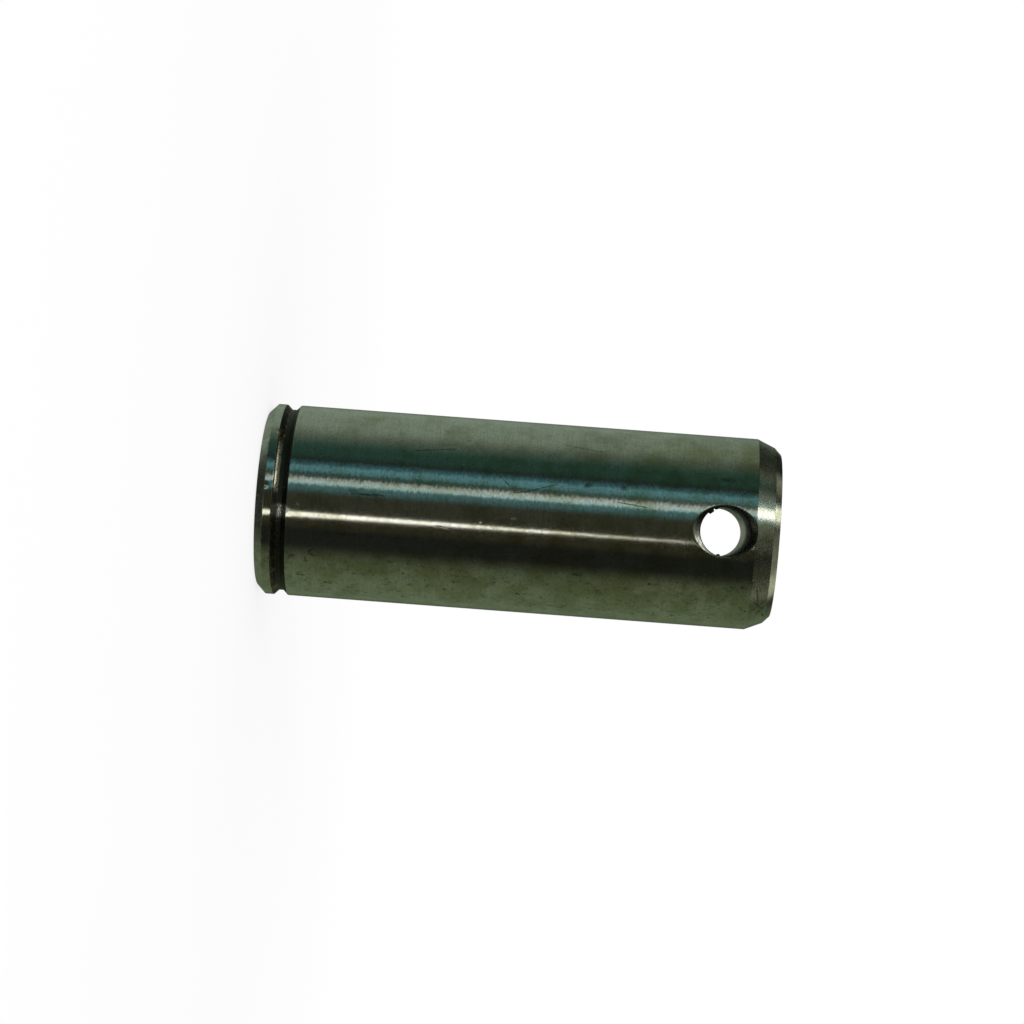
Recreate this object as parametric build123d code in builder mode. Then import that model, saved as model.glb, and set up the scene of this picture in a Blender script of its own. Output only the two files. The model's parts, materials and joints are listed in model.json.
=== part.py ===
"""A plain steel pivot pin, 30 mm across and 80.4 mm long.

The pin stands on its grooved end. Z runs along the axis, from the foot face at Z = 0 up to the tip, and
the cross hole runs along Y. From the foot up, the turned outline is an end chamfer, a short collar, a
ring groove with sloping walls, the long shank, a slow lead-in taper and a small tip chamfer. The cross
hole is countersunk where it breaks out of the shank on each side.
"""

import os
from math import radians, tan

from build123d import *

# Driving dimensions, lengths in millimetres and angles in degrees
shank_diameter = 30.0
overall_length = 80.4

# Foot end: a chamfer at 45 degrees that meets the foot face at a softened corner
foot_chamfer = 1.3
foot_corner_radius = 0.3

# Groove for a snap ring of round wire
groove_height = 2.55
groove_floor_width = 0.8
groove_depth = 0.76
groove_wall_angle = 45.0
groove_root_radius = 0.25
groove_lip_radius = 0.12

# Tip end: a slow lead-in taper, then a small chamfer at 45 degrees
lead_in_length = 2.75
lead_in_depth = 1.2
tip_chamfer = 1.0

# Cross hole for a split pin
cross_hole_diameter = 7.7
cross_hole_below_tip = 8.4
countersink_diameter = 9.8
countersink_angle = 120.0

# Radii and heights of the turned outline, which follow from the driving dimensions
shank_radius = shank_diameter / 2
foot_face_radius = shank_radius - foot_chamfer
groove_floor_radius = shank_radius - groove_depth
lead_in_end_radius = shank_radius - lead_in_depth
tip_face_radius = lead_in_end_radius - tip_chamfer
groove_wall_height = groove_depth * tan(radians(90.0 - groove_wall_angle))
groove_floor_bottom = groove_height + groove_wall_height
groove_floor_top = groove_floor_bottom + groove_floor_width
groove_top = groove_floor_top + groove_wall_height
lead_in_end_height = overall_length - tip_chamfer
lead_in_height = lead_in_end_height - lead_in_length
cross_hole_height = overall_length - cross_hole_below_tip

# Corners of the turned outline from the foot up, as (radius, height), each with its rounding
sharp = 0.0
outline = (
    ((0.0, 0.0), sharp),
    ((foot_face_radius, 0.0), foot_corner_radius),
    ((shank_radius, foot_chamfer), sharp),
    ((shank_radius, groove_height), groove_lip_radius),
    ((groove_floor_radius, groove_floor_bottom), groove_root_radius),
    ((groove_floor_radius, groove_floor_top), groove_root_radius),
    ((shank_radius, groove_top), groove_lip_radius),
    ((shank_radius, lead_in_height), sharp),
    ((lead_in_end_radius, lead_in_end_height), sharp),
    ((tip_face_radius, overall_length), sharp),
    ((0.0, overall_length), sharp),
)

os.makedirs("parts", exist_ok=True)

with BuildPart() as pin:
    # Turned bar
    with BuildSketch(Plane.XZ):
        with BuildLine():
            FilletPolyline(
                *[corner for corner, rounding in outline],
                radius=[rounding for corner, rounding in outline],
                close=True,
            )
        make_face()
    revolve(axis=Axis.Z)

    # Cross hole, drilled right through and countersunk from both sides
    front_mouth = Plane(origin=(0, -shank_radius, cross_hole_height), z_dir=(0, -1, 0))
    back_mouth = Plane(origin=(0, shank_radius, cross_hole_height), z_dir=(0, 1, 0))
    with Locations(front_mouth, back_mouth):
        CounterSinkHole(
            radius=cross_hole_diameter / 2,
            counter_sink_radius=countersink_diameter / 2,
            depth=shank_diameter,
            counter_sink_angle=countersink_angle,
        )

pin.part.label = "pin"
export_step(pin.part, "parts/pin.step")
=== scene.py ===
"""A steel pivot pin, standing on its grooved end: the fine mesh, the worn ground steel, and the studio."""

import json
import math
from typing import NamedTuple

import bmesh
import bpy
import numpy as np
from mathutils import Matrix, Vector, noise
from mathutils.geometry import delaunay_2d_cdt


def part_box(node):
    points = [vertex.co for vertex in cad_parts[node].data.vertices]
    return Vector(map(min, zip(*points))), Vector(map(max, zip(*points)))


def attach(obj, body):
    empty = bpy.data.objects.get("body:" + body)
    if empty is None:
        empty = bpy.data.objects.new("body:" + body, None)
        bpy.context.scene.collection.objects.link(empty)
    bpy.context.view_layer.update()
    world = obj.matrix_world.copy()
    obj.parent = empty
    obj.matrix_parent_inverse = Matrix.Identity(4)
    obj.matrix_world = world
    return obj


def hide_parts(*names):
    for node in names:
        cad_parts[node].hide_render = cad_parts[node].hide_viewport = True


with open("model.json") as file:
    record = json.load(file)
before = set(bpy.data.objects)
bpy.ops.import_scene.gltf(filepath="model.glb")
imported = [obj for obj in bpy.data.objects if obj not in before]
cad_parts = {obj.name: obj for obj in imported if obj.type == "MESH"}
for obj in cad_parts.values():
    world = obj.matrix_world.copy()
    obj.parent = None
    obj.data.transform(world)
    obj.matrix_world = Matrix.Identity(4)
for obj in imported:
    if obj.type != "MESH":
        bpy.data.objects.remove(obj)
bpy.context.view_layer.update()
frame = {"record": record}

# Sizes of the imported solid, in millimetres, and the countersinks' full angle, in degrees
MM = 0.001
mounts = {mount["name"]: mount for mount in frame["record"]["mounts"]}
shank_mount = mounts["shank"]
hole_mount = mounts["cross_hole"]
LENGTH = (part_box("pin")[1].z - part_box("pin")[0].z) / MM
SHANK_RADIUS = shank_mount["dims"]["r_mm"]
SHANK_MIDDLE = shank_mount["pos_m"][2] / MM
SHANK_LENGTH = shank_mount["dims"]["length_mm"]
GROOVE_MIDDLE = mounts["ring_groove"]["pos_m"][2] / MM
HOLE_RADIUS = hole_mount["dims"]["r_mm"]
HOLE_HEIGHT = hole_mount["pos_m"][2] / MM
BORE_HALF_LENGTH = hole_mount["dims"]["length_mm"] / 2
CONE_ANGLE = 120
CONE_SLOPE = math.radians(90 - CONE_ANGLE / 2)
COUNTERSINK_RADIUS = HOLE_RADIUS + (SHANK_RADIUS - BORE_HALF_LENGTH) / math.tan(CONE_SLOPE)

# Turned outline from the foot up, as (radius, height) corners, each with its rounding
FOOT_CHAMFER, GROOVE_DEPTH, LEAD_IN_DEPTH, TIP_CHAMFER = 1.3, 0.76, 1.2, 1.0
GROOVE_TOP = SHANK_MIDDLE - SHANK_LENGTH / 2
GROOVE_HEIGHT = 2 * GROOVE_MIDDLE - GROOVE_TOP
LEAD_IN_HEIGHT = SHANK_MIDDLE + SHANK_LENGTH / 2
LEAD_IN_END = LENGTH - TIP_CHAMFER
OUTLINE = (
    ((0.0, 0.0), 0.0),
    ((SHANK_RADIUS - FOOT_CHAMFER, 0.0), 0.3),
    ((SHANK_RADIUS, FOOT_CHAMFER), 0.15),
    ((SHANK_RADIUS, GROOVE_HEIGHT), 0.12),
    ((SHANK_RADIUS - GROOVE_DEPTH, GROOVE_HEIGHT + GROOVE_DEPTH), 0.25),
    ((SHANK_RADIUS - GROOVE_DEPTH, GROOVE_TOP - GROOVE_DEPTH), 0.25),
    ((SHANK_RADIUS, GROOVE_TOP), 0.12),
    ((SHANK_RADIUS, LEAD_IN_HEIGHT), 0.25),
    ((SHANK_RADIUS - LEAD_IN_DEPTH, LEAD_IN_END), 0.15),
    ((SHANK_RADIUS - LEAD_IN_DEPTH - TIP_CHAMFER, LENGTH), 0.12),
    ((0.0, LENGTH), 0.0),
)
# The surface between each two corners, from the foot up
ZONES = (
    "faced", "foot_chamfer", "collar", "groove", "groove",
    "groove", "shank", "taper", "taper", "faced",
)

# Fineness of the mesh, with the height of a row of faces in each zone and of the narrow row at a corner
ROW_STEPS = {
    "faced": 1.6, "foot_chamfer": 0.25, "collar": 0.25, "groove": 0.16, "shank": 0.55, "taper": 0.3,
}
CORNER_ROW = 0.05
COLUMNS = 320
ROUNDING_STEPS = 4
CONE_STEPS = 4
THROAT_STEPS = 3
BORE_STEPS = 36

# The mouths of the cross hole: the points round each, and the roundings of its outer and inner edge, each
# at most a share of the countersink's width
RIM_POINTS = 192
RIM_ROUNDING, BORE_ROUNDING, ROUNDING_SHARE = 0.14, 0.1, 0.4
SEARCH_STEPS = 40

# The patch round each mouth: how far it reaches past the countersink, how far it stays below the tip
# chamfer and clear of the rim, how near a row is to the taper's lower edge to be kept whole, and the
# tolerances of the fit
PATCH_MARGIN = 1.3
PATCH_BELOW_CHAMFER = 0.4
PATCH_CLEARANCE = 0.12
RIDGE_REACH = 0.2
MERGE_DISTANCE, INSIDE_RIM = 1e-7, 0.002

# Wear, in millimetres: the skin lost all over, the roughness of the groove, and single dents. The groove's
# grain is in features to the millimetre, with others so many times finer at half the depth, and it is cut
# off where it would raise the surface by more than a share of the roughness.
WEAR = 0.012
GROOVE_ROUGHNESS, GROOVE_GRAIN, FINER_GRAIN = 0.03, 1.3, 2.7
GROOVE_MARGIN, GROOVE_RAISED = 0.1, -0.2


class Dent(NamedTuple):
    """A small dent in the side: how far round from the front, how high, its half width and its depth."""

    around: float
    height: float
    reach: float
    depth: float


DENTS = (
    Dent(1.9, 1.5, 0.55, 0.14),
    Dent(-6.5, 1.35, 0.4, 0.07),
    Dent(-13.8, 1.4, 0.6, 0.08),
    Dent(11.5, 2.5, 0.5, 0.09),
    Dent(7.6, 2.5, 0.35, 0.06),
    Dent(-9.6, 2.55, 0.45, 0.08),
    Dent(21.0, 1.4, 0.7, 0.12),
    Dent(-27.0, 2.5, 0.6, 0.1),
    Dent(36.0, 1.5, 0.5, 0.08),
    Dent(-40.0, 1.3, 0.6, 0.1),
    Dent(17.4, GROOVE_TOP, 0.5, 0.06),
    Dent(-33.0, GROOVE_TOP, 0.6, 0.07),
    Dent(15.8, LEAD_IN_END, 0.6, 0.09),
    Dent(-21.0, LEAD_IN_END, 0.7, 0.1),
    Dent(31.0, LEAD_IN_END, 0.5, 0.08),
)


class Burr(NamedTuple):
    """A small chip of metal left inside a mouth of the bore, between two angles round the hole."""

    side: int
    start: float
    end: float
    height: float


BURRS = (Burr(-1, 224, 237, 0.34), Burr(-1, 240, 250, 0.24), Burr(1, 273, 282, 0.36))


def rounded_outline():
    """Points of the turned outline with its corners rounded, and the zone of each step between them."""
    corners = [np.array(point) for point, _ in OUTLINE]
    pieces = [[corners[0]]]
    for before, corner, after, (_, rounding) in zip(corners, corners[1:], corners[2:], OUTLINE[1:]):
        way_in = (corner - before) / np.linalg.norm(corner - before)
        way_out = (after - corner) / np.linalg.norm(after - corner)
        normals = [np.array([way[1], -way[0]]) for way in (way_in, way_out)]
        bulge = math.copysign(1.0, way_in[0] * way_out[1] - way_in[1] * way_out[0])
        turn = math.acos(np.clip(way_in @ way_out, -1, 1))
        middle = (normals[0] + normals[1]) / np.linalg.norm(normals[0] + normals[1])
        centre = corner - bulge * middle * rounding / math.cos(turn / 2)
        arc = []
        for step in range(ROUNDING_STEPS + 1):
            share = step / ROUNDING_STEPS
            weights = math.sin((1 - share) * turn), math.sin(share * turn)
            normal = (normals[0] * weights[0] + normals[1] * weights[1]) / math.sin(turn)
            arc.append(centre + bulge * rounding * normal)
        pieces.append(arc)
    pieces.append([corners[-1]])
    points, zones = [pieces[0][0]], []
    for zone, start, end in zip(ZONES, pieces, pieces[1:]):
        gap = np.linalg.norm(end[0] - start[-1])
        narrow = min(CORNER_ROW, gap / 4)
        steps = max(1, round((gap - 2 * narrow) / ROW_STEPS[zone]))
        shares = np.linspace(narrow / gap, 1 - narrow / gap, steps + 1)
        for share in [*shares, 1.0]:
            points.append(start[-1] + (end[0] - start[-1]) * share)
            zones.append(zone)
        for point in end[1:]:
            points.append(point)
            zones.append(zone)
    return np.array(points) - [WEAR, 0], zones


profile, row_zones = rounded_outline()
profile[:, 0] = np.maximum(profile[:, 0], 0)


def radius_at(height):
    """Radius of the turned surface above the groove, at a height."""
    upper = (profile[:, 1] > GROOVE_TOP) & (profile[:, 1] < LENGTH - 0.001)
    return np.interp(height, profile[upper, 1], profile[upper, 0])


def worn(point):
    """A point of the turned side after wear: rough in the groove, and pressed in at each dent."""
    reach = math.hypot(point[0], point[1])
    around = math.atan2(-point[0], -point[1]) * SHANK_RADIUS
    height = point[2]
    loss = 0.0
    if GROOVE_HEIGHT - GROOVE_MARGIN < height < GROOVE_TOP + GROOVE_MARGIN:
        place = Vector(point) * GROOVE_GRAIN
        grain = noise.noise(place) + noise.noise(place * FINER_GRAIN) / 2
        loss += GROOVE_ROUGHNESS * max(grain, GROOVE_RAISED)
    for dent in DENTS:
        distance = math.hypot(around - dent.around, height - dent.height) / dent.reach
        if distance < 1:
            loss += dent.depth * (1 - distance ** 2) ** 2
    scale = (reach - max(loss, 0)) / reach
    return np.array([point[0] * scale, point[1] * scale, height])


def hole_rim(side):
    """Rows of points round one mouth of the cross hole, from the shank's surface down into the bore.

    side is -1 for the front mouth and 1 for the back one. Each row has RIM_POINTS points.
    """
    angles = np.arange(RIM_POINTS) * 2 * math.pi / RIM_POINTS
    low = np.full(RIM_POINTS, HOLE_RADIUS)
    high = np.full(RIM_POINTS, COUNTERSINK_RADIUS * 1.1)
    for _ in range(SEARCH_STEPS):
        reach = (low + high) / 2
        turned_radius = radius_at(HOLE_HEIGHT + reach * np.cos(angles))
        surface = np.sqrt(turned_radius ** 2 - (reach * np.sin(angles)) ** 2)
        outside = SHANK_RADIUS - surface > (COUNTERSINK_RADIUS - reach) * math.tan(CONE_SLOPE)
        high = np.where(outside, reach, high)
        low = np.where(outside, low, reach)

    def placed(reach, outward):
        """Points round the hole's axis, at a distance from it and a distance out along it."""
        return np.stack(
            [reach * np.sin(angles) * -side, outward * side, HOLE_HEIGHT + reach * np.cos(angles)], axis=1
        )

    rim = placed(reach, surface)
    along = np.roll(rim, -1, axis=0) - np.roll(rim, 1, axis=0)
    along /= np.linalg.norm(along, axis=1, keepdims=True)
    from_axis = rim * [1, 1, 0] / np.linalg.norm(rim[:, :2], axis=1, keepdims=True)
    away = np.cross(along, from_axis)
    away /= np.linalg.norm(away, axis=1, keepdims=True)
    from_hole = rim - [0, 0, HOLE_HEIGHT]
    from_hole[:, 1] = 0
    away *= np.sign((away * from_hole).sum(axis=1, keepdims=True))
    ring_width = reach - HOLE_RADIUS
    rounding = np.minimum(RIM_ROUNDING, ring_width * ROUNDING_SHARE)
    outer = rim + away * RIM_ROUNDING
    outer_radius = radius_at(outer[:, 2])
    outer[:, 1] = side * np.sqrt(outer_radius ** 2 - outer[:, 0] ** 2)
    inner = placed(reach - rounding * math.cos(CONE_SLOPE), surface - rounding * math.sin(CONE_SLOPE))
    rows = []
    for share in np.linspace(0, 1, ROUNDING_STEPS + 1):
        rows.append(outer * (1 - share) ** 2 + rim * 2 * share * (1 - share) + inner * share ** 2)
    burr = sum(
        burr.height * np.array([burr.start < angle < burr.end for angle in np.degrees(angles)])
        for burr in BURRS
        if burr.side == side
    )
    step_in = np.minimum(BORE_ROUNDING, ring_width * ROUNDING_SHARE)
    whole = np.ones(RIM_POINTS)
    cone_end = placed(
        HOLE_RADIUS + step_in * math.cos(CONE_SLOPE) - burr / 2,
        BORE_HALF_LENGTH + step_in * math.sin(CONE_SLOPE),
    )
    throat = placed(HOLE_RADIUS - burr, whole * BORE_HALF_LENGTH)
    bore_start = placed(HOLE_RADIUS - burr, whole * (BORE_HALF_LENGTH - BORE_ROUNDING))
    burr_end = placed(HOLE_RADIUS * whole, whole * (BORE_HALF_LENGTH - 4 * BORE_ROUNDING))
    for share in np.linspace(0, 1, CONE_STEPS + 1)[1:]:
        rows.append(inner + (cone_end - inner) * share)
    for share in np.linspace(0, 1, THROAT_STEPS + 1)[1:]:
        rows.append(cone_end * (1 - share) ** 2 + throat * 2 * share * (1 - share) + bore_start * share ** 2)
    rows.append(burr_end)
    return rows


def at(row, column):
    """The number of a point of the turned surface, whose rows are COLUMNS points long."""
    return row * COLUMNS + column % COLUMNS


class Patch(NamedTuple):
    """The part of the turned surface that is fitted anew round one mouth, as rows and columns of it."""

    side: int
    centre: int
    half_columns: int
    low_row: int
    high_row: int

    def covers(self, row, column):
        """Whether the patch takes the place of a face of the turned surface."""
        across = (column - self.centre + self.half_columns) % COLUMNS
        return self.low_row <= row < self.high_row and across < 2 * self.half_columns


def patches_for(heights):
    """The patches round the front and the back mouth, given the heights of the turned rows."""
    half_width = COUNTERSINK_RADIUS + PATCH_MARGIN
    half_columns = math.ceil(half_width / SHANK_RADIUS / (2 * math.pi / COLUMNS))
    top = min(HOLE_HEIGHT + half_width, LEAD_IN_END - PATCH_BELOW_CHAMFER)
    rows = np.arange(len(heights))
    low_row = int(rows[heights < HOLE_HEIGHT - half_width].max())
    high_row = int(rows[heights > top].min())
    return (
        Patch(-1, COLUMNS * 3 // 4, half_columns, low_row, high_row),
        Patch(1, COLUMNS // 4, half_columns, low_row, high_row),
    )


def build_pin():
    """The pin as one closed mesh: turned rows, a fitted patch round each mouth, and the bore between them."""
    inner_rows = profile[1:-1]
    last_row = len(inner_rows) - 1
    turns = np.arange(COLUMNS) * 2 * math.pi / COLUMNS
    around = np.stack([np.cos(turns), np.sin(turns)], axis=1)
    points = [worn([*(way * radius), height]) for radius, height in inner_rows for way in around]
    foot_centre, tip_centre = len(points), len(points) + 1
    points += [np.array([0, 0, 0.0]), np.array([0, 0, LENGTH])]
    patches = patches_for(inner_rows[:, 1])
    faces, zones = [], []
    for column in range(COLUMNS):
        faces.append((foot_centre, at(0, column + 1), at(0, column)))
        faces.append((tip_centre, at(last_row, column), at(last_row, column + 1)))
        zones += ["faced", "faced"]
    for row in range(last_row):
        for column in range(COLUMNS):
            if not any(patch.covers(row, column) for patch in patches):
                lower = at(row, column), at(row, column + 1)
                upper = at(row + 1, column + 1), at(row + 1, column)
                faces.append((*lower, *upper))
                zones.append(row_zones[row + 1])

    innermost = []
    for patch in patches:
        rows = hole_rim(patch.side)
        first = len(points)
        for row in rows:
            points.extend(row)
        for row in range(len(rows) - 1):
            for step in range(RIM_POINTS):
                a = first + row * RIM_POINTS + step
                b = first + row * RIM_POINTS + (step + 1) % RIM_POINTS
                faces.append((a, b, b + RIM_POINTS, a + RIM_POINTS))
                zones.append("countersink" if row < ROUNDING_STEPS + CONE_STEPS else "bore")
        innermost.append(len(points) - RIM_POINTS)
        for face, zone in patch_faces(points, first, patch):
            faces.append(face)
            zones.append(zone)
    bore = bore_faces(points, *innermost)
    return points, faces + bore, zones + ["bore"] * len(bore)


def bore_faces(points, front_first, back_first):
    """Faces of the bore's wall, between the innermost rows of the two mouths. Adds the points they need."""
    back_order = [(RIM_POINTS - step) % RIM_POINTS for step in range(RIM_POINTS)]
    start = np.array(points[front_first:front_first + RIM_POINTS])
    end = np.array(points[back_first:back_first + RIM_POINTS])[back_order]
    faces = []
    previous = list(range(front_first, front_first + RIM_POINTS))
    for step in range(1, BORE_STEPS + 1):
        if step < BORE_STEPS:
            current = list(range(len(points), len(points) + RIM_POINTS))
            points.extend(start + (end - start) * step / BORE_STEPS)
        else:
            current = [back_first + order for order in back_order]
        for a in range(RIM_POINTS):
            b = (a + 1) % RIM_POINTS
            faces.append((previous[a], previous[b], current[b], current[a]))
        previous = current
    return faces


def patch_faces(points, rim_first, patch):
    """Triangles that fit the turned rows round one mouth to the mouth's outer rim, each with its zone."""
    rim = np.array(points[rim_first:rim_first + RIM_POINTS])
    middle = patch.side * math.pi / 2

    def flat(xyz):
        """Points of the side unrolled, as (how far round from the mouth's middle, how high)."""
        angle = (np.arctan2(xyz[:, 1], xyz[:, 0]) - middle + math.pi) % (2 * math.pi) - math.pi
        return np.stack([angle * SHANK_RADIUS, xyz[:, 2]], axis=1)

    def polar(xyz):
        """The angle of each point round the hole's axis, and its distance from that axis."""
        return np.arctan2(xyz[:, 0], xyz[:, 2] - HOLE_HEIGHT), np.hypot(xyz[:, 0], xyz[:, 2] - HOLE_HEIGHT)

    rim_angle, rim_reach = polar(rim)
    order = np.argsort(rim_angle)

    def past_rim(xyz):
        """How far each point lies outside the rim, seen along the hole."""
        angle, reach = polar(xyz)
        return reach - np.interp(angle, rim_angle[order], rim_reach[order], period=2 * math.pi)

    rows = range(patch.low_row, patch.high_row + 1)
    columns = range(patch.centre - patch.half_columns, patch.centre + patch.half_columns + 1)
    indices = [at(row, column) for row in rows for column in columns]
    xyz = np.array([points[i] for i in indices])
    kept = past_rim(xyz) > PATCH_CLEARANCE
    number = {}
    vertices, sources = [], []
    for index, keep, place in zip(indices, kept, flat(xyz)):
        if keep:
            number[index] = len(vertices)
            vertices.append(Vector(place))
            sources.append(index)
    rim_start = len(vertices)
    for step, place in enumerate(flat(rim)):
        vertices.append(Vector(place))
        sources.append(rim_first + step)
    edges = [(rim_start + step, rim_start + (step + 1) % RIM_POINTS) for step in range(RIM_POINTS)]
    for row in rows:
        for column in columns:
            here, beside, above = at(row, column), at(row, column + 1), at(row + 1, column)
            along_row = column < columns[-1] and here in number and beside in number
            on_ridge = abs(points[here][2] - LEAD_IN_HEIGHT) < RIDGE_REACH
            if along_row and (on_ridge or row in (rows[0], rows[-1])):
                edges.append((number[here], number[beside]))
            if row < rows[-1] and column in (columns[0], columns[-1]):
                edges.append((number[here], number[above]))
    _, _, triangles, origins, _, _ = delaunay_2d_cdt(vertices, edges, [], 0, MERGE_DISTANCE)
    for triangle in triangles:
        corner = [sources[origins[v][0]] for v in triangle]
        where = np.array([points[c] for c in corner]).mean(axis=0, keepdims=True)
        if past_rim(where)[0] >= -INSIDE_RIM:
            yield tuple(corner), "taper" if where[0, 2] > LEAD_IN_HEIGHT else "shank"


def make_piece():
    """Make the pin's Blender object, in place of the CAD node and riding on its body."""
    points, faces, zones = build_pin()
    mesh = bpy.data.meshes.new("steel_pin")
    mesh.from_pydata([tuple(p) for p in points], [], faces)
    names = list(materials)
    mesh.polygons.foreach_set("material_index", [names.index(zone) for zone in zones])
    for name in names:
        mesh.materials.append(materials[name])
    sheet = bmesh.new()
    sheet.from_mesh(mesh)
    bmesh.ops.delete(sheet, geom=[v for v in sheet.verts if not v.link_faces], context="VERTS")
    bmesh.ops.recalc_face_normals(sheet, faces=sheet.faces)
    bmesh.ops.scale(sheet, vec=(MM, MM, MM), verts=sheet.verts)
    print("open edges:", len([e for e in sheet.edges if len(e.link_faces) != 2]))
    print("triangles:", sum(len(face.verts) - 2 for face in sheet.faces))
    sheet.to_mesh(mesh)
    sheet.free()
    mesh.shade_smooth()
    piece = bpy.data.objects.new("steel_pin", mesh)
    bpy.context.scene.collection.objects.link(piece)
    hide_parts("pin")
    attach(piece, "root")


class Graph:
    """Short calls that add nodes to a node tree.

    A value may be a number, a tuple or another node's socket.
    """

    def __init__(self, tree):
        self.tree = tree

    def node(self, kind, values=(), **settings):
        """A node of a kind, with its settings and its input values by name or number."""
        node = self.tree.nodes.new("ShaderNode" + kind)
        for name, setting in settings.items():
            setattr(node, name, setting)
        for name, value in dict(values).items():
            if isinstance(value, bpy.types.NodeSocket):
                self.tree.links.new(value, node.inputs[name])
            else:
                node.inputs[name].default_value = value
        return node

    def math(self, operation, *values):
        """The result of a Math node."""
        return self.node("Math", enumerate(values), operation=operation).outputs[0]

    def times(self, *values):
        """The product of the values."""
        product = values[0]
        for value in values[1:]:
            product = self.math("MULTIPLY", product, value)
        return product

    def total(self, *values):
        """The sum of the values."""
        result = values[0]
        for value in values[1:]:
            result = self.math("ADD", result, value)
        return result

    def vector(self, operation, *values):
        """A Vector Math node, of which some calls need the vector and some the number."""
        return self.node("VectorMath", enumerate(values), operation=operation)

    def step(self, value, start, end, low=0.0, high=1.0):
        """low where value is at start, high where it is at end, with a smooth step between."""
        values = {"Value": value, "From Min": start, "From Max": end, "To Min": low, "To Max": high}
        return self.node("MapRange", values, interpolation_type="SMOOTHSTEP").outputs[0]

    def noise(self, place, scale, detail=2.0, roughness=0.5):
        """Smooth noise, from 0 to 1, with scale features to the millimetre along each axis."""
        stretched = self.vector("MULTIPLY", place, scale).outputs[0]
        values = {"Vector": stretched, "Scale": 1.0, "Detail": detail, "Roughness": roughness}
        return self.node("TexNoise", values).outputs[0]

    def mix(self, factor, start, end, blend="MIX"):
        """Colour start where factor is 0 and colour end where it is 1."""
        values = {0: factor, 6: start, 7: end}
        return self.node("Mix", values, data_type="RGBA", blend_type=blend).outputs[2]

    def between(self, factor, start, end):
        """Number start where factor is 0 and number end where it is 1."""
        return self.node("Mix", {0: factor, 2: start, 3: end}, data_type="FLOAT").outputs[0]


class Places(NamedTuple):
    """Sockets that say where a shaded point is, in millimetres."""

    point: object
    around: object
    height: object
    reach: object


def places(graph):
    """Where a point of the pin is: its coordinates, how far round from the front, how high, how far out."""
    metres = graph.node("TexCoord").outputs["Object"]
    point = graph.vector("MULTIPLY", metres, (1 / MM,) * 3).outputs[0]
    x, y, z = graph.node("SeparateXYZ", {0: point}).outputs
    angle = graph.math("ARCTAN2", graph.times(x, -1.0), graph.times(y, -1.0))
    reach = graph.math("SQRT", graph.total(graph.times(x, x), graph.times(y, y)))
    return Places(point, graph.times(angle, SHANK_RADIUS), z, reach)


def make_steel(name, recipe, brushed=1.0):
    """A steel material. The recipe gives its colour, its roughness and its relief in millimetres.

    brushed is how much the marks that run round the axis stretch the highlights along it.
    """
    material = bpy.data.materials.new(name)
    material.use_nodes = True
    shader = material.node_tree.nodes["Principled BSDF"]
    shader.inputs["Metallic"].default_value = 1
    shader.inputs["Anisotropic"].default_value = brushed
    shader.inputs["Anisotropic Rotation"].default_value = 0.25
    graph = Graph(material.node_tree)
    colour, roughness, relief = recipe(graph, places(graph))
    bump = graph.node("Bump", {"Strength": 1.0, "Distance": MM, "Height": relief})
    tangent = graph.node("Tangent", direction_type="RADIAL", axis="Z")
    for input_name, socket in (
        ("Base Color", colour),
        ("Roughness", roughness),
        ("Normal", bump.outputs[0]),
        ("Tangent", tangent.outputs[0]),
    ):
        material.node_tree.links.new(socket, shader.inputs[input_name])
    return material


# Colours of the metal and of what lies on it
CLEAN = (0.51, 0.515, 0.48, 1)
FILM = (0.29, 0.3, 0.19, 1)
OLIVE = (0.3, 0.3, 0.1, 1)
# The darkest colour is dirt, and it is also the painted shade in the countersinks and towards the front of
# the bore
GRIME_AND_SHADE = (0.045, 0.045, 0.035, 1)
RUST = (0.22, 0.13, 0.04, 1)
BRASSY = (0.55, 0.47, 0.26, 1)
# The polished bead's colour, brighter than steel: polished metal with a painted highlight
POLISHED_WITH_PAINTED_HIGHLIGHT = (0.95, 0.88, 0.66, 1)
NICKED = (0.9, 0.89, 0.84, 1)
SCUFFED = (0.75, 0.74, 0.7, 1)

# How ragged the edges of the marks are: features to the millimetre, and their reach in millimetres
RAGGED_SCALE, RAGGED_REACH = 2.2, 0.35


class Mark(NamedTuple):
    """A mark on the side, from start to end as (how far round from the front, how high)."""

    start: tuple
    end: tuple
    half_width: float


# Dark scratches, bright nicks and dark spots of the shank, and scratches of the taper
SCRATCHES = (
    Mark((1.95, 14.3), (1.93, 15.6), 0.11),
    Mark((1.6, 14.8), (1.45, 18.6), 0.15),
    Mark((1.75, 17.9), (1.5, 19.7), 0.09),
    Mark((3.64, 39.95), (4.18, 42.5), 0.1),
    Mark((4.18, 42.5), (5.32, 45.62), 0.09),
    Mark((6.15, 37.08), (4.66, 38.59), 0.08),
    Mark((3.28, 55.44), (2.73, 59.77), 0.09),
    Mark((-8.2, 8.6), (-7.7, 9.3), 0.11),
    Mark((-8.4, 8.7), (-8.9, 9.5), 0.11),
    Mark((-2.4, 28.0), (-3.1, 31.5), 0.06),
    Mark((9.5, 24.0), (10.4, 30.0), 0.07),
    Mark((13.0, 47.0), (12.1, 52.5), 0.07),
    Mark((-27.0, 22.0), (-22.5, 31.0), 0.09),
    Mark((24.0, 50.0), (29.5, 58.0), 0.09),
    Mark((-36.0, 60.0), (-41.0, 48.0), 0.1),
    Mark((38.0, 17.0), (35.0, 28.0), 0.1),
)
NICKS = (
    Mark((-0.52, 39.41), (-0.55, 40.03), 0.1),
    Mark((-1.51, 34.67), (-1.51, 34.67), 0.12),
    Mark((-0.7, 6.44), (-0.75, 6.6), 0.16),
    Mark((7.9, 61.0), (7.8, 61.4), 0.1),
    Mark((10.6, 71.8), (10.2, 72.3), 0.1),
)
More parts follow.
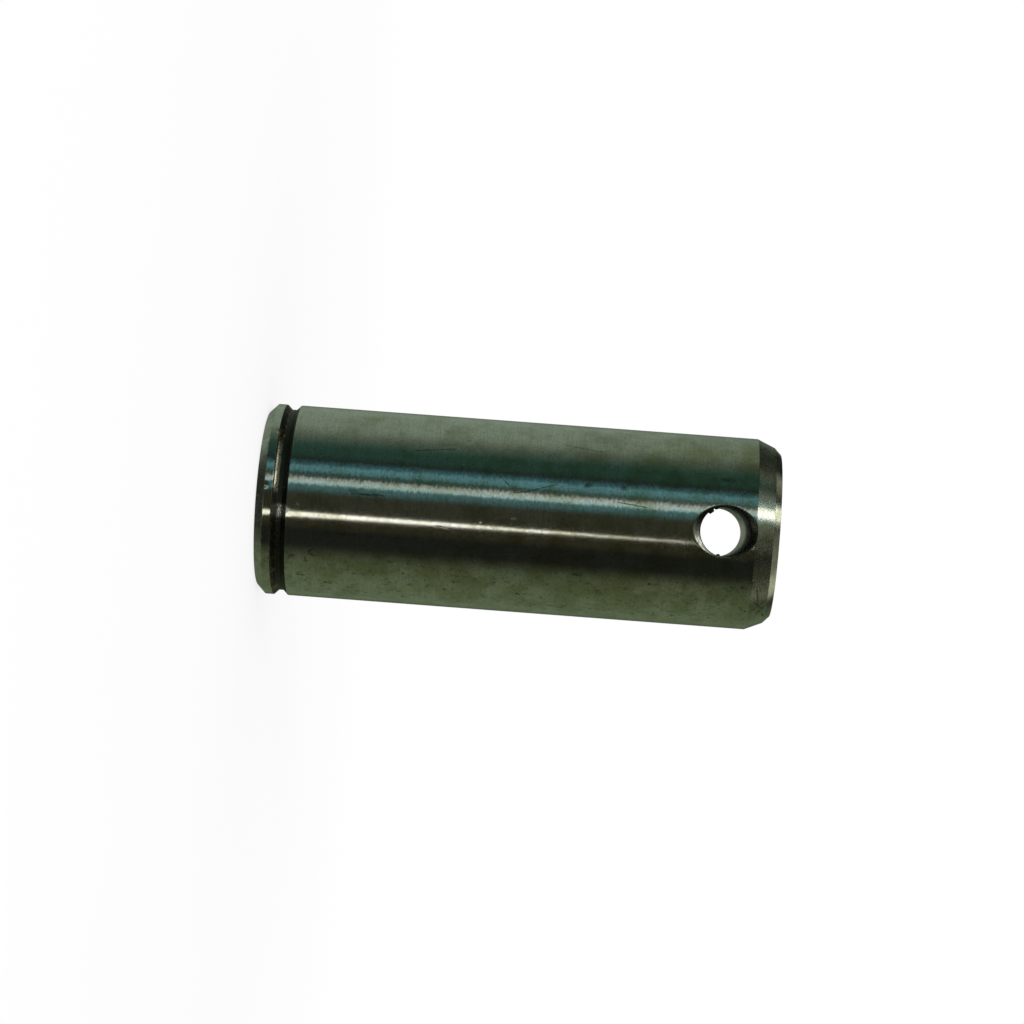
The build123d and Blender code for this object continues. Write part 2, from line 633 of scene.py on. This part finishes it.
SPOTS = (
    Mark((-16.98, 47.43), (-17.0, 47.9), 0.22),
    Mark((-9.2, 5.56), (-9.1, 6.2), 0.3),
    Mark((-9.3, 8.1), (-9.9, 8.3), 0.22),
    Mark((-13.0, 6.9), (-13.1, 7.9), 0.22),
    Mark((-14.55, 11.2), (-14.6, 11.9), 0.28),
    Mark((-17.38, 23.11), (-17.4, 23.5), 0.25),
    Mark((-16.82, 64.89), (-16.8, 65.2), 0.25),
    Mark((-8.9, 75.2), (-9.0, 75.9), 0.3),
    Mark((-8.7, 49.5), (-8.8, 50.4), 0.25),
    Mark((5.6, 50.2), (5.6, 50.7), 0.35),
    Mark((5.6, 56.0), (5.6, 56.4), 0.35),
    Mark((8.3, 71.2), (8.2, 72.6), 0.3),
)
TAPER_SCRATCHES = (
    Mark((-9.3, 77.5), (-12.4, 78.0), 0.1),
    Mark((-12.0, 77.4), (-14.2, 78.9), 0.13),
    Mark((-13.9, 77.3), (-12.3, 78.9), 0.1),
    Mark((-15.3, 77.9), (-13.4, 79.2), 0.12),
    Mark((-15.8, 78.9), (-17.2, 79.2), 0.12),
    Mark((16.5, 77.4), (18.9, 78.3), 0.08),
    Mark((-31.0, 77.2), (-34.5, 78.6), 0.1),
)

# Where the film on the shank is olive, and the narrow stretch where the grinding shows most, between two
# distances round from the front
OLIVE_PATCHES = (Mark((11.5, 60.0), (12.5, 74.0), 3.5), Mark((-14, 12), (-13, 74), 2.2))
SCUFFED_FROM, SCUFFED_TO = (1.8, 3.0), (8.5, 6.5)

# The bead and the glint in the groove, each between two distances round from the front
BEAD_FROM, BEAD_TO = (0.6, 2.5), (11.0, 8.0)
BEAD_HEIGHT, BEAD_RELIEF, BEAD_STEEPNESS = GROOVE_HEIGHT + 0.5, 0.14, 1.3
GLINT_FROM, GLINT_TO = (-3.4, -2.4), (-0.6, -1.4)


def marked(graph, at, marks):
    """How strongly a point is inside any of the marks, from 0 to 1, with ragged edges."""
    flat = graph.node("CombineXYZ", {0: at.around, 1: at.height}).outputs[0]
    wobble = graph.node("TexNoise", {"Vector": at.point, "Scale": RAGGED_SCALE, "Detail": 2.0})
    wobble = graph.vector("SUBTRACT", wobble.outputs["Color"], (0.5, 0.5, 0.5)).outputs[0]
    wobble = graph.vector("MULTIPLY", wobble, (RAGGED_REACH, RAGGED_REACH, 0)).outputs[0]
    flat = graph.vector("ADD", flat, wobble).outputs[0]
    strongest = 0.0
    for mark in marks:
        along = (mark.end[0] - mark.start[0], mark.end[1] - mark.start[1], 0)
        length_squared = along[0] ** 2 + along[1] ** 2
        offset = graph.vector("SUBTRACT", flat, (*mark.start, 0)).outputs[0]
        if length_squared:
            share = graph.vector("DOT_PRODUCT", offset, along).outputs["Value"]
            share = graph.times(share, 1 / length_squared)
            share = graph.math("MINIMUM", graph.math("MAXIMUM", share, 0.0), 1.0)
            nearest = graph.node("VectorMath", {0: along, 3: share}, operation="SCALE").outputs[0]
            offset = graph.vector("SUBTRACT", offset, nearest).outputs[0]
        distance = graph.vector("LENGTH", offset).outputs["Value"]
        inside = graph.step(distance, mark.half_width * 1.8, mark.half_width * 0.2)
        strongest = graph.math("MAXIMUM", strongest, inside)
    rubbed = graph.step(graph.noise(at.point, (1.6, 1.6, 1.6), 3, 0.7), 0.3, 0.6, 0.25, 1.0)
    return graph.times(strongest, rubbed)


def specks(graph, point, density, radius, chosen):
    """Scattered specks: cells to the millimetre, radius in millimetres, and the share of cells with one."""
    cells = graph.node("TexVoronoi", {"Vector": point, "Scale": density})
    size = graph.step(cells.outputs["Distance"], radius * density, radius * density * 0.4)
    lucky = graph.node("SeparateColor", {0: cells.outputs["Color"]}).outputs[0]
    return graph.times(size, graph.math("LESS_THAN", lucky, chosen))


def ground_steel(graph, at):
    """The shank and the collar: fine grinding marks round the axis, oil film, specks and scratches."""
    grinding = graph.noise(at.point, (0.7, 0.7, 2.4), 1, 0.4)
    lines = graph.noise(at.point, (0.2, 0.2, 3.5), 3, 0.7)
    smears = graph.noise(at.point, (0.22, 0.22, 0.25), 4, 0.6)
    grain = graph.noise(at.point, (2.5, 2.5, 4.0), 2, 0.6)
    below = graph.step(at.around, -6.0, -10.0)

    towards_tip = graph.step(at.height, 10.0, 75.0, -0.04, 0.05)
    film = graph.step(graph.total(smears, towards_tip, graph.times(below, 0.04)), 0.4, 0.68, 0.0, 0.7)
    colour = graph.mix(film, CLEAN, FILM)
    colour = graph.mix(graph.step(lines, 0.35, 0.7, 0.0, 0.3), colour, FILM)
    colour = graph.mix(graph.step(grain, 0.48, 0.75, 0.0, 0.35), colour, GRIME_AND_SHADE)
    olive_patch = marked(graph, at, OLIVE_PATCHES)
    patchy = graph.step(graph.noise(at.point, (0.5, 0.5, 0.25), 3, 0.6), 0.38, 0.6)
    colour = graph.mix(graph.times(olive_patch, patchy, 0.32), colour, OLIVE)

    fine_specks = specks(graph, at.point, 1.1, 0.2, 0.25)
    large_specks = specks(graph, at.point, 0.6, 0.32, 0.4)
    dirty = graph.step(graph.noise(at.point, (0.4, 0.4, 0.25), 3, 0.6), 0.4, 0.6)
    dirty = graph.times(dirty, graph.between(below, 0.3, 1.0))
    dirt = graph.times(graph.math("MAXIMUM", large_specks, fine_specks), graph.total(dirty, 0.15))
    blotches = graph.step(graph.noise(at.point, (1.1, 1.1, 0.8), 4, 0.7), 0.52, 0.7, 0.0, 0.65)
    dirt = graph.math("MAXIMUM", dirt, graph.times(blotches, graph.between(below, 0.3, 1.0)))
    dirt = graph.math("MAXIMUM", dirt, marked(graph, at, SPOTS))
    scratched = marked(graph, at, SCRATCHES)
    nicked = marked(graph, at, NICKS)
    colour = graph.mix(graph.times(dirt, 0.7), colour, GRIME_AND_SHADE)
    colour = graph.mix(graph.times(scratched, 0.8), colour, GRIME_AND_SHADE)
    colour = graph.mix(graph.times(nicked, 0.4), colour, NICKED)

    roughness = graph.step(lines, 0.3, 0.7, 0.16, 0.2)
    roughness = graph.total(roughness, graph.times(dirt, 0.15), graph.times(nicked, 0.2))
    scuffed = graph.times(graph.step(at.around, *SCUFFED_FROM), graph.step(at.around, *SCUFFED_TO))
    relief = graph.total(
        graph.times(grinding, graph.between(scuffed, 0.006, 0.026)),
        graph.times(lines, 0.003),
        graph.times(scratched, -0.003),
        graph.times(nicked, -0.01),
        graph.times(dirt, 0.001),
    )
    return colour, roughness, relief


def taper_steel(graph, at):
    """The lead-in taper and the tip chamfer: turning marks, more film, and crossed scratches."""
    rings = graph.noise(at.point, (0.06, 0.06, 7.0), 3, 0.7)
    chatter = graph.noise(at.point, (0.9, 0.9, 3.0), 3, 0.6)
    smears = graph.noise(at.point, (0.45, 0.45, 0.5), 4, 0.65)
    below = graph.step(at.around, -5.0, -9.0)
    film = graph.step(graph.total(smears, graph.times(below, 0.12)), 0.38, 0.66, 0.0, 0.7)
    colour = graph.mix(film, CLEAN, FILM)
    colour = graph.mix(graph.step(rings, 0.4, 0.7, 0.0, 0.35), colour, OLIVE)
    scratched = marked(graph, at, TAPER_SCRATCHES)
    dirt = specks(graph, at.point, 1.0, 0.2, 0.2)
    colour = graph.mix(graph.times(scratched, 0.85), colour, GRIME_AND_SHADE)
    colour = graph.mix(graph.times(dirt, 0.6), colour, GRIME_AND_SHADE)
    roughness = graph.step(chatter, 0.3, 0.7, 0.22, 0.28)
    relief = graph.total(
        graph.times(rings, 0.006),
        graph.times(chatter, 0.003),
        graph.times(scratched, -0.01),
    )
    return colour, roughness, relief


def groove_steel(graph, at):
    """The groove: dark grime, with rust and bare metal on the flank nearer the foot.

    In front that flank has a polished bead, raised off the metal, whose colour is brighter than steel as a
    painted highlight, and a rubbed glint beside it.
    """
    crust = graph.noise(at.point, (1.6, 1.6, 2.2), 4, 0.7)
    flecks = graph.noise(at.point, (3.2, 3.2, 5.0), 3, 0.7)
    lower = graph.step(at.height, GROOVE_MIDDLE - 0.05, GROOVE_MIDDLE - 0.4)
    rusty = graph.times(lower, graph.step(crust, 0.5, 0.68, 0.0, 0.6))
    off_bead = graph.math("SUBTRACT", at.height, BEAD_HEIGHT)
    bead = graph.math("SUBTRACT", BEAD_RELIEF, graph.times(off_bead, off_bead, BEAD_STEEPNESS))
    bead = graph.math("MAXIMUM", bead, 0.0)
    front = graph.times(graph.step(at.around, *BEAD_FROM), graph.step(at.around, *BEAD_TO))
    front = graph.times(front, graph.step(bead, 0.0, 0.05))
    rubbed = graph.step(graph.noise(at.point, (0.35, 0.35, 0.35), 2), 0.5, 0.65, 0.0, 0.7)
    rubbed = graph.math("MAXIMUM", front, rubbed)
    bare = graph.times(lower, rubbed, graph.step(flecks, 0.48, 0.6))
    glint = graph.times(graph.step(at.around, *GLINT_FROM), graph.step(at.around, *GLINT_TO))
    glint = graph.times(glint, graph.step(flecks, 0.35, 0.5), graph.between(lower, 1.0, 0.35))
    scattered = graph.math("MAXIMUM", graph.step(flecks, 0.66, 0.72), glint)
    colour = graph.mix(rusty, GRIME_AND_SHADE, RUST)
    colour = graph.mix(bare, colour, BRASSY)
    colour = graph.mix(scattered, colour, CLEAN)
    # The front of the bead is polished metal with a painted highlight in its colour
    colour = graph.mix(graph.times(front, graph.step(flecks, 0.36, 0.5)), colour, POLISHED_WITH_PAINTED_HIGHLIGHT)
    roughness = graph.between(graph.math("MAXIMUM", bare, glint), 0.5, 0.25)
    relief = graph.total(graph.times(crust, 0.08), graph.times(flecks, 0.04), graph.times(bead, front))
    return colour, roughness, relief


def chamfer_steel(graph, at):
    """The foot chamfer: turned, dull and knocked."""
    rings = graph.noise(at.point, (0.06, 0.06, 8.0), 3, 0.7)
    knocks = graph.noise(at.point, (0.9, 0.9, 0.9), 4, 0.7)
    colour = graph.mix(graph.step(knocks, 0.35, 0.65, 0.0, 0.6), CLEAN, FILM)
    dirt = graph.math("MAXIMUM", graph.step(knocks, 0.62, 0.7), specks(graph, at.point, 1.2, 0.2, 0.3))
    colour = graph.mix(graph.times(dirt, 0.7), colour, GRIME_AND_SHADE)
    roughness = graph.step(knocks, 0.3, 0.7, 0.26, 0.36)
    relief = graph.total(graph.times(rings, 0.015), graph.times(knocks, 0.025))
    return colour, roughness, relief


def faced_steel(graph, at):
    """The end faces: rings left by the facing tool, rubbed smoother towards the rim."""
    ring_place = graph.node("CombineXYZ", {0: graph.times(at.reach, 4.0), 1: graph.times(at.height, 0.05)})
    rings = graph.node("TexNoise", {"Vector": ring_place.outputs[0], "Scale": 1.0, "Detail": 4.0}).outputs[0]
    smears = graph.noise(at.point, (0.25, 0.25, 0.25), 4, 0.6)
    scuffs = graph.noise(at.point, (0.3, 5.0, 1.0), 3, 0.65)
    rim = graph.step(at.reach, SHANK_RADIUS - 5.0, SHANK_RADIUS - 2.0)
    colour = graph.mix(graph.step(smears, 0.38, 0.66, 0.0, 0.7), CLEAN, FILM)
    colour = graph.mix(graph.step(rings, 0.45, 0.7, 0.0, 0.35), colour, OLIVE)
    colour = graph.mix(graph.times(graph.step(scuffs, 0.62, 0.7), rim), colour, SCUFFED)
    dirt = graph.times(specks(graph, at.point, 0.8, 0.35, 0.3), graph.step(scuffs, 0.4, 0.6))
    colour = graph.mix(graph.times(dirt, 0.45), colour, GRIME_AND_SHADE)
    roughness = graph.step(smears, 0.3, 0.7, 0.28, 0.38)
    relief = graph.total(graph.times(rings, 0.03), graph.times(scuffs, 0.004))
    return colour, roughness, relief


def hole_reach(graph, at):
    """How far a point is from the cross hole's axis."""
    x, _, z = graph.node("SeparateXYZ", {0: at.point}).outputs
    up = graph.math("SUBTRACT", z, HOLE_HEIGHT)
    return graph.math("SQRT", graph.total(graph.times(x, x), graph.times(up, up)))


def countersink_steel(graph, at):
    """The countersinks: rings and chatter left by the cutter, and black towards the tip and to -X, which is
    painted shade and partly dark oil.
    """
    reach = hole_reach(graph, at)
    ring_place = graph.node("CombineXYZ", {0: graph.times(reach, 5.0)})
    rings = graph.node("TexNoise", {"Vector": ring_place.outputs[0], "Scale": 1.0, "Detail": 3.0}).outputs[0]
    chatter = graph.noise(at.point, (1.3, 1.3, 1.3), 3, 0.65)
    colour = graph.mix(graph.step(chatter, 0.35, 0.65, 0.15, 0.8), CLEAN, FILM)
    colour = graph.mix(graph.step(rings, 0.5, 0.7, 0.0, 0.4), colour, GRIME_AND_SHADE)
    x = graph.node("SeparateXYZ", {0: at.point}).outputs[0]
    up = graph.math("SUBTRACT", at.height, HOLE_HEIGHT)
    # Darker towards the tip and to -X: painted shade, partly dark oil
    painted_shade_and_oil = graph.math("MAXIMUM", graph.step(up, -1.0, 2.2, 0.0, 0.92), graph.step(x, 0.2, -2.0, 0.0, 0.85))
    colour = graph.mix(painted_shade_and_oil, colour, GRIME_AND_SHADE)
    roughness = graph.step(chatter, 0.3, 0.7, 0.24, 0.34)
    relief = graph.total(graph.times(rings, 0.02), graph.times(chatter, 0.03))
    return colour, roughness, relief


def bore_steel(graph, at):
    """The bore: drilling marks round its own axis, under dark oil, and darker towards the front mouth, which
    is painted shade and partly grime.
    """
    spirals = graph.noise(at.point, (0.3, 4.0, 0.3), 4, 0.7)
    oil = graph.noise(at.point, (0.5, 0.3, 0.5), 3, 0.6)
    y = graph.node("SeparateXYZ", {0: at.point}).outputs[1]
    # Darker towards the front mouth: painted shade, partly grime
    front = graph.step(y, 4.0, -11.0, 0.0, 0.97)
    colour = graph.mix(graph.step(oil, 0.35, 0.65, 0.5, 1.0), CLEAN, FILM)
    colour = graph.mix(graph.step(spirals, 0.3, 0.7, 0.6, 0.9), colour, GRIME_AND_SHADE)
    colour = graph.mix(front, colour, GRIME_AND_SHADE)
    roughness = graph.total(graph.step(oil, 0.3, 0.7, 0.36, 0.46), graph.times(front, 0.3))
    relief = graph.total(graph.times(spirals, graph.between(front, 0.07, 0.16)), graph.times(oil, 0.01))
    return colour, roughness, relief


materials = {
    "shank": make_steel("shank", ground_steel),
    "collar": make_steel("collar", ground_steel),
    "taper": make_steel("taper", taper_steel),
    "foot_chamfer": make_steel("foot_chamfer", chamfer_steel, brushed=0.7),
    "groove": make_steel("groove", groove_steel, brushed=0.3),
    "faced": make_steel("faced", faced_steel, brushed=0.7),
    "countersink": make_steel("countersink", countersink_steel, brushed=0.0),
    "bore": make_steel("bore", bore_steel, brushed=0.0),
}
make_piece()

# Camera, from where the pin's outline lies in the photograph's 1024 pixel frame. The shank's width, the
# eye's distance, its offset along and across the pin, and the pixel of the pin's axis near its middle are
# in pixels at the axis. The height of that pixel on the axis is in millimetres.
IMAGE_SIZE = 1024
SHANK_PIXELS = 190.55
EYE_DISTANCE, EYE_ALONG, EYE_ACROSS = 2890, 60.0, -26.0
AXIS_PIXEL, PIXELS_BELOW_MIDDLE = (518.5, 516.94), 0.7
TILT = math.radians(4.275)
PIXELS_PER_MM = SHANK_PIXELS / (2 * SHANK_RADIUS)
AXIS_HEIGHT = LENGTH / 2 - PIXELS_BELOW_MIDDLE / PIXELS_PER_MM


def on_axis_plane(pixel_x, pixel_y):
    """The point in the plane of the pin's axis that a pixel of the photograph shows, in millimetres."""
    right, down = pixel_x - AXIS_PIXEL[0], pixel_y - AXIS_PIXEL[1]
    along = right * math.cos(TILT) + down * math.sin(TILT)
    across = right * math.sin(TILT) - down * math.cos(TILT)
    return Vector((-across / PIXELS_PER_MM, 0, AXIS_HEIGHT + along / PIXELS_PER_MM))


def add_camera():
    """The camera at the photograph's place, rolled so that the pin's tip points right and a little down."""
    eye = Vector((
        -EYE_ACROSS / PIXELS_PER_MM,
        -EYE_DISTANCE / PIXELS_PER_MM,
        AXIS_HEIGHT + EYE_ALONG / PIXELS_PER_MM,
    ))
    target = on_axis_plane(IMAGE_SIZE / 2, IMAGE_SIZE / 2)
    back = (eye - target).normalized()
    up = Vector((-math.cos(TILT), 0, -math.sin(TILT)))
    right = up.cross(back).normalized()
    up = back.cross(right)
    data = bpy.data.cameras.new("camera")
    data.lens = PIXELS_PER_MM * (eye - target).length / IMAGE_SIZE * data.sensor_width
    data.clip_start = 0.01
    camera = bpy.data.objects.new("camera", data)
    camera.matrix_world = Matrix.Translation(eye * MM) @ Matrix((right, up, back)).transposed().to_4x4()
    bpy.context.scene.collection.objects.link(camera)
    bpy.context.scene.camera = camera


# Studio: how bright the plain light is, and the panels that the steel mirrors. Angles are in degrees, with
# azimuth 0 in front of the pin and positive to the photograph's upper side, and sizes are in metres.
DAYLIGHT = 0.95
SHELL_RADIUS = 0.6
SHELL_CENTRE = (0, 0, LENGTH / 2 * MM)
SHELL_DARK = (0.02, 0.022, 0.018)


class Panel(NamedTuple):
    """A glowing panel of the studio's shell: where it is, how far it reaches each way, and its colour.

    Each edge fades over twice its fade, half of it inside the panel's reach and half outside.
    """

    azimuth: float
    half_width: float
    width_fade: float
    elevation: float
    half_height: float
    height_fade: float
    colour: tuple


PANELS = (
    Panel(180, 9, 4, 0, 60, 10, (0.54, 0.6, 0.46)),
    Panel(125, 38, 20, -25, 38, 11, (0.29, 0.365, 0.285)),
    Panel(68, 14, 8, 10, 38, 15, (0.012, 0.06, 0.045)),
    Panel(42.5, 5.5, 4, 10, 38, 12, (0.05, 0.16, 0.2)),
    Panel(39, 4.4, 1, 10, 38, 12, (0.08, 0.19, 0.21)),
    Panel(32.5, 2.8, 1.2, 10, 38, 12, (0.01, 0.06, 0.045)),
    Panel(26, 2.3, 1.1, 10, 38, 12, (0.47, 0.53, 0.47)),
    Panel(21.6, 2.7, 1.8, 10, 38, 12, (0.53, 0.7, 0.71)),
    Panel(17, 5, 5, 10, 38, 12, (0.06, 0.19, 0.21)),
    Panel(0, 12, 5, 10, 38, 12, (0.035, 0.035, 0.02)),
    Panel(-22, 10, 5, 10, 38, 12, (0.025, 0.022, 0.008)),
    Panel(-112, 46, 14, -18, 46, 12, (0.12, 0.15, 0.08)),
    Panel(-135, 42, 16, -10, 50, 16, (0.05, 0.07, 0.05)),
    Panel(28, 30, 12, 47, 11, 8, (0.26, 0.29, 0.23)),
    Panel(0, 24, 8, 47, 11, 8, (0.08, 0.085, 0.07)),
    Panel(56, 8, 6, 43, 8, 6, (0.24, 0.25, 0.21)),
    Panel(82, 14, 8, 36, 7, 6, (0.09, 0.09, 0.07)),
    Panel(104, 20, 8, 76.5, 5, 3, (7.5, 7.5, 7.0)),
    Panel(124, 14, 8, 55, 7, 6, (0.7, 0.7, 0.6)),
    Panel(-122, 16, 8, 55, 8, 6, (1.6, 1.6, 1.4)),
    Panel(-135, 60, 20, 75, 18, 8, (0.36, 0.38, 0.3)),
)
KEY_AZIMUTH, KEY_ELEVATION, KEY_DISTANCE = 31, 45, 0.54
KEY_SIZE, KEY_LEVEL = (0.086, 0.22), 5.0

# The narrow card close in front, which makes the thin warm line along the shank
CARD_DISTANCE, CARD_BOTTOM, CARD_TOP = 0.15, -0.1, 0.06
CARD_FOOT_EDGES, CARD_HEAD_EDGES = (-12.2, -22.2), (-14.0, -15.5)
CARD_COLOUR, CARD_LEVEL = (1.0, 0.98, 0.9, 1), 2.7

# The floor: its size, how far from the pin it turns plain white, and how white it is shown beside the pin
FLOOR_SIZE = 6
FLOOR_FADE, WHITENESS_NEAR = (0.06, 0.3), 0.8
FLOOR_COLOUR, WHITE = (0.9, 0.9, 0.9, 1), (1, 1, 1, 1)


def studio_direction(azimuth, elevation):
    """The unit vector from the pin to a place in the studio."""
    azimuth, elevation = math.radians(azimuth), math.radians(elevation)
    level = math.cos(elevation)
    return Vector((-math.sin(azimuth) * level, -math.cos(azimuth) * level, math.sin(elevation)))


def glowing_material(name):
    """A new material with no nodes yet, for a thing that glows without being a lamp, and its graph."""
    material = bpy.data.materials.new(name)
    material.use_nodes = True
    material.node_tree.nodes.clear()
    material.cycles.emission_sampling = "NONE"
    return material, Graph(material.node_tree)


def show_only_to_reflections(thing):
    """Keep a thing of the studio out of sight, of the plain light and of the shadows."""
    thing.visible_camera = False
    thing.visible_diffuse = False
    thing.visible_transmission = False
    thing.visible_shadow = False


def add_shell():
    """The shell of panels that only the steel's reflections see."""
    material, graph = glowing_material("studio_shell")
    x, y, z = graph.node("SeparateXYZ", {0: graph.node("TexCoord").outputs["Object"]}).outputs
    azimuth = graph.math("DEGREES", graph.math("ARCTAN2", graph.times(x, -1.0), graph.times(y, -1.0)))
    elevation = graph.math("DEGREES", graph.math("ARCSINE", graph.math("DIVIDE", z, SHELL_RADIUS)))
    light = (*SHELL_DARK, 1)
    for panel in PANELS:
        off_centre = graph.math("SUBTRACT", azimuth, float(panel.azimuth))
        off_centre = graph.math("ABSOLUTE", graph.math("WRAP", off_centre, 180.0, -180.0))
        off_level = graph.math("ABSOLUTE", graph.math("SUBTRACT", elevation, float(panel.elevation)))
        across = graph.step(
            off_centre, panel.half_width + panel.width_fade, panel.half_width - panel.width_fade
        )
        up = graph.step(
            off_level, panel.half_height + panel.height_fade, panel.half_height - panel.height_fade
        )
        light = graph.mix(graph.times(across, up), light, (*panel.colour, 1), "ADD")
    emission = graph.node("Emission", {"Color": light})
    graph.node("OutputMaterial", {0: emission.outputs[0]})

    bpy.ops.mesh.primitive_uv_sphere_add(
        segments=64, ring_count=32, radius=SHELL_RADIUS, location=SHELL_CENTRE
    )
    shell = bpy.context.object
    shell.name = "studio_shell"
    shell.data.materials.append(material)
    shell.data.shade_smooth()
    show_only_to_reflections(shell)


def add_key():
    """The soft key light, up in front."""
    data = bpy.data.lights.new("key", "AREA")
    data.shape = "RECTANGLE"
    data.size, data.size_y = KEY_SIZE
    data.energy = KEY_LEVEL * math.pi * data.size * data.size_y
    key = bpy.data.objects.new("key", data)
    direction = studio_direction(KEY_AZIMUTH, KEY_ELEVATION)
    key.location = Vector(SHELL_CENTRE) + direction * KEY_DISTANCE
    key.rotation_euler = direction.to_track_quat("Z", "Y").to_euler()
    key.visible_camera = False
    bpy.context.scene.collection.objects.link(key)


def add_card():
    """The narrow warm card, which only the steel's reflections see."""
    material, graph = glowing_material("warm_card")
    emission = graph.node("Emission", {"Color": CARD_COLOUR, "Strength": CARD_LEVEL})
    graph.node("OutputMaterial", {0: emission.outputs[0]})
    corners = []
    for edges, height in ((CARD_FOOT_EDGES, CARD_BOTTOM), (CARD_HEAD_EDGES, CARD_TOP)):
        for azimuth in edges:
            corners.append(studio_direction(azimuth, 0) * CARD_DISTANCE + Vector((0, 0, height)))
    mesh = bpy.data.meshes.new("warm_card")
    mesh.from_pydata(corners, [], [(0, 1, 3, 2)])
    mesh.materials.append(material)
    card = bpy.data.objects.new("warm_card", mesh)
    bpy.context.scene.collection.objects.link(card)
    show_only_to_reflections(card)


def seen_ray(graph):
    """1 for a ray from the camera, off gloss or through glass, and 0 for the rays that carry light."""
    ray = graph.node("LightPath")
    seen = graph.math("MAXIMUM", ray.outputs["Is Camera Ray"], ray.outputs["Is Glossy Ray"])
    return graph.math("MAXIMUM", seen, ray.outputs["Is Transmission Ray"])


def add_floor():
    """The pale floor, near white to the camera but still with the pin's soft shadow.

    The steel doesn't mirror the floor, because the photographed pin mirrors dark surroundings.
    """
    material = bpy.data.materials.new("pale_floor")
    material.use_nodes = True
    tree = material.node_tree
    graph = Graph(tree)
    shader = tree.nodes["Principled BSDF"]
    shader.inputs["Base Color"].default_value = FLOOR_COLOUR
    shader.inputs["Roughness"].default_value = 0.9
    shader.inputs["Specular IOR Level"].default_value = 0.1
    white = graph.node("Emission", {"Color": WHITE})
    place = graph.node("TexCoord").outputs["Object"]
    from_pin = graph.vector("LENGTH", place).outputs["Value"]
    whiteness = graph.times(seen_ray(graph), graph.step(from_pin, *FLOOR_FADE, WHITENESS_NEAR, 1.0))
    mixed = graph.node("MixShader", {0: whiteness, 1: shader.outputs[0], 2: white.outputs[0]})
    tree.links.new(mixed.outputs[0], tree.nodes["Material Output"].inputs[0])
    bpy.ops.mesh.primitive_plane_add(size=FLOOR_SIZE)
    floor = bpy.context.object
    floor.name = "pale_floor"
    floor.data.materials.append(material)
    floor.visible_glossy = False


def set_world():
    """White to the camera and in reflections, and a plain even light for everything else."""
    world = bpy.data.worlds.new("world")
    bpy.context.scene.world = world
    world.use_nodes = True
    graph = Graph(world.node_tree)
    background = world.node_tree.nodes["Background"]
    background.inputs["Color"].default_value = WHITE
    strength = graph.between(seen_ray(graph), DAYLIGHT, 1.0)
    world.node_tree.links.new(strength, background.inputs["Strength"])


add_camera()
add_shell()
add_key()
add_card()
add_floor()
set_world()
bpy.context.scene.view_settings.view_transform = "Standard"
